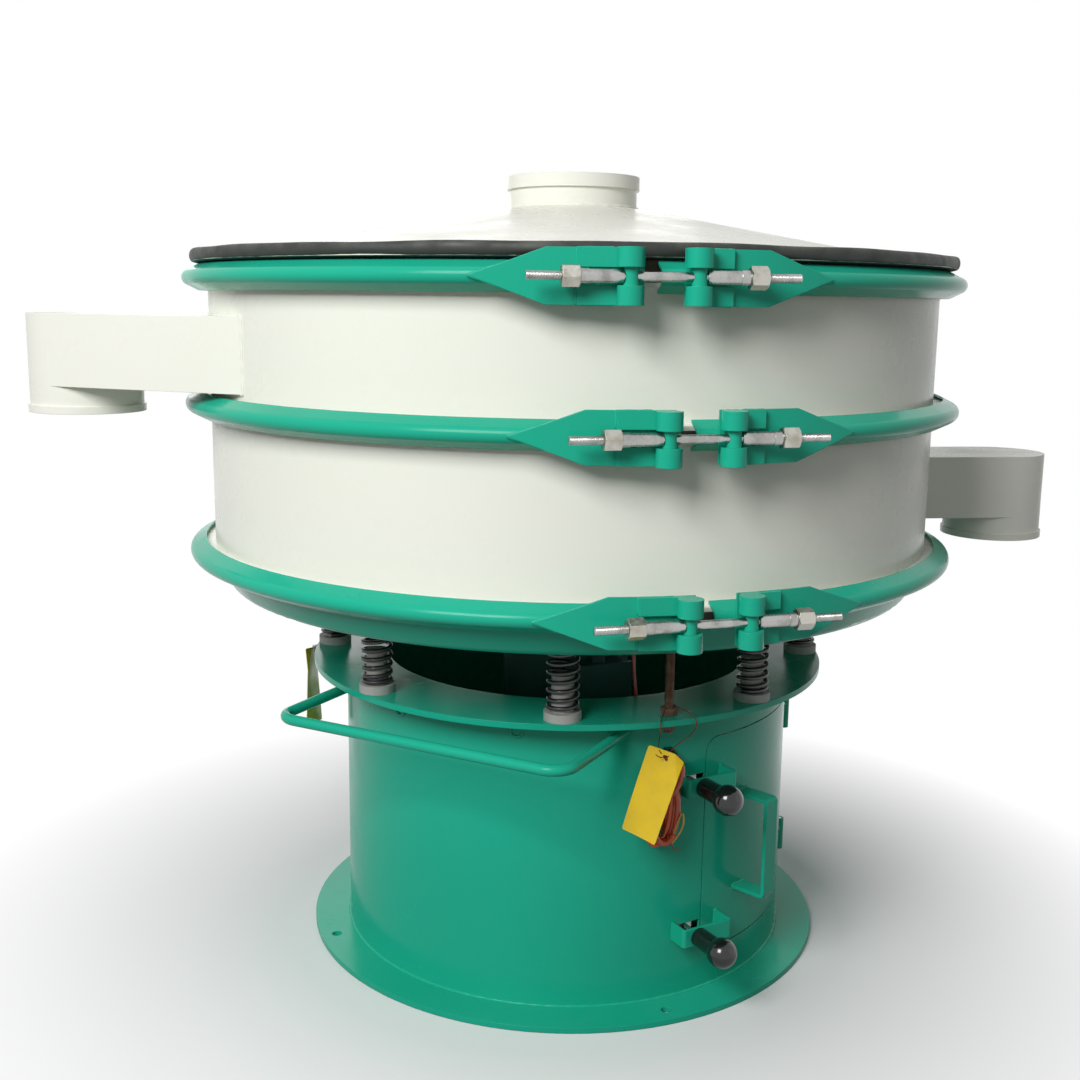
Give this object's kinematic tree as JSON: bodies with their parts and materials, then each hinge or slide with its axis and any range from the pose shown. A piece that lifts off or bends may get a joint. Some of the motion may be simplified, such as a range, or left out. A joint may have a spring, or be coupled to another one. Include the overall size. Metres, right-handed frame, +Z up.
{
  "type": "vibrating sieve",
  "caption": "Round vibrating sieve: a two-frame screening deck with ring clamps, side outlets and a conical lid, on springs above a drum base with a service door.",
  "frame": {"origin": "machine axis at the underside of the base flange, the centre of the floor bolt circle", "axes": "+Z up along the machine axis, -Y towards the front with the clamp closures, +X towards the lower outlet"},
  "size_m": [1.4808, 1.1064, 1.0782],
  "materials": {
    "green_paint": "gloss enamel",
    "cream_paint": "gloss enamel",
    "motor_paint": "satin enamel",
    "steel": "turned, slightly oiled",
    "rusty_steel": "rusty threaded rod",
    "spring_steel": "black, semi-gloss",
    "mesh_steel": "woven wire",
    "cast_weight": "machined cast iron",
    "pad_rubber": "grey rubber",
    "seal_rubber": "black rubber, dusty",
    "black_plastic": "black phenolic",
    "cable_sheath": "orange sheath",
    "lead_sheath": "red sheath",
    "core_sheath": "yellow and brown cores",
    "tag_plastic": "yellow card"
  },
  "bodies": {
    "base": {"base_shell": "green_paint", "bottom_flange": "green_paint", "top_flange": "green_paint", "towing_rail": "green_paint", "shell_hinge_leaves": "green_paint", "hinge_pins": "steel", "spring_seats": "pad_rubber", "springs": "spring_steel", "transport_bolts": "rusty_steel", "transport_nuts": "rusty_steel", "cable_gland": "black_plastic", "cable_hank": "cable_sheath", "supply_cable": "cable_sheath", "motor_lead": "lead_sheath", "cable_cores": "core_sheath", "warning_tags": "tag_plastic"},
    "sieve": {"spring_caps": "pad_rubber", "vibrating_tray": "green_paint", "discharge_dome": "cream_paint", "lower_frame": "cream_paint", "lower_chute": "cream_paint", "upper_frame": "cream_paint", "upper_chute": "cream_paint", "frame_seals": "seal_rubber", "screen_seal": "seal_rubber", "screen_ring": "steel", "screen_mesh": "mesh_steel", "lid": "cream_paint", "lid_edging": "seal_rubber", "inlet_neck": "cream_paint", "top_ring": "green_paint", "middle_ring": "green_paint", "bottom_ring": "green_paint", "clamp_lugs": "green_paint", "trunnions": "green_paint", "tie_rods": "steel", "rod_spacers": "steel", "motor_housing": "motor_paint", "motor_flange": "motor_paint", "motor_bearings": "steel", "motor_bolts": "steel", "terminal_box": "motor_paint"},
    "rotor": {"rotor_core": "steel", "motor_shaft": "steel", "upper_weight": "cast_weight", "lower_weights": "cast_weight"},
    "door": {"door_panel": "green_paint", "door_handle": "green_paint", "door_hinge_leaves": "green_paint", "latch_straps": "green_paint"},
    "lower_latch": {"lower_latch_spindle": "steel", "lower_latch_knob": "black_plastic"},
    "upper_latch": {"upper_latch_spindle": "steel", "upper_latch_knob": "black_plastic"},
    "top_left_nut": {"top_ring_left_nut": "steel"},
    "top_right_nut": {"top_ring_right_nut": "steel"},
    "middle_left_nut": {"middle_ring_left_nut": "steel"},
    "middle_right_nut": {"middle_ring_right_nut": "steel"},
    "bottom_left_nut": {"bottom_ring_left_nut": "steel"},
    "bottom_right_nut": {"bottom_ring_right_nut": "steel"}
  },
  "joints": [
    {"name": "sieve_bounce", "type": "slide", "parent": "base", "child": "sieve", "axis": [0, 0, 1], "range_m": [-0.004, 0.004], "stiffness_N_per_m": 250000, "springref_m": 0.00796, "deforming": ["springs"]},
    {"name": "rotor_spin", "type": "hinge", "parent": "sieve", "child": "rotor", "pos_m": [0, 0, 0.35], "axis": [0, 0, 1], "continuous": true},
    {"name": "door_swing", "type": "hinge", "parent": "base", "child": "door", "pos_m": [0.3314, 0.01157, 0.2], "axis": [0, 0, 1], "range_deg": [0, 100]},
    {"name": "lower_latch_turn", "type": "hinge", "parent": "door", "child": "lower_latch", "pos_m": [0.17288, -0.31577, 0.1], "axis": [0.4802, -0.8771, 0], "range_deg": [0, 90]},
    {"name": "upper_latch_turn", "type": "hinge", "parent": "door", "child": "upper_latch", "pos_m": [0.17288, -0.31577, 0.304], "axis": [0.4802, -0.8771, 0], "range_deg": [0, 90]},
    {"name": "top_left_nut_turn", "type": "hinge", "parent": "sieve", "child": "top_left_nut", "pos_m": [-0.01591, -0.55831, 0.9346], "axis": [-0.9893, -0.1461, 0], "continuous": true},
    {"name": "top_right_nut_turn", "type": "hinge", "parent": "sieve", "child": "top_right_nut", "pos_m": [0.1766, -0.52989, 0.9346], "axis": [0.9893, 0.1461, 0], "continuous": true},
    {"name": "middle_left_nut_turn", "type": "hinge", "parent": "sieve", "child": "middle_left_nut", "pos_m": [0.02892, -0.55779, 0.7706], "axis": [-0.9744, -0.225, 0], "continuous": true},
    {"name": "middle_right_nut_turn", "type": "hinge", "parent": "sieve", "child": "middle_right_nut", "pos_m": [0.21853, -0.51402, 0.7706], "axis": [0.9744, 0.225, 0], "continuous": true},
    {"name": "bottom_left_nut_turn", "type": "hinge", "parent": "sieve", "child": "bottom_left_nut", "pos_m": [0.05807, -0.55551, 0.5726], "axis": [-0.9613, -0.2756, 0], "continuous": true},
    {"name": "bottom_right_nut_turn", "type": "hinge", "parent": "sieve", "child": "bottom_right_nut", "pos_m": [0.24513, -0.50187, 0.5726], "axis": [0.9613, 0.2756, 0], "continuous": true}
  ]
}
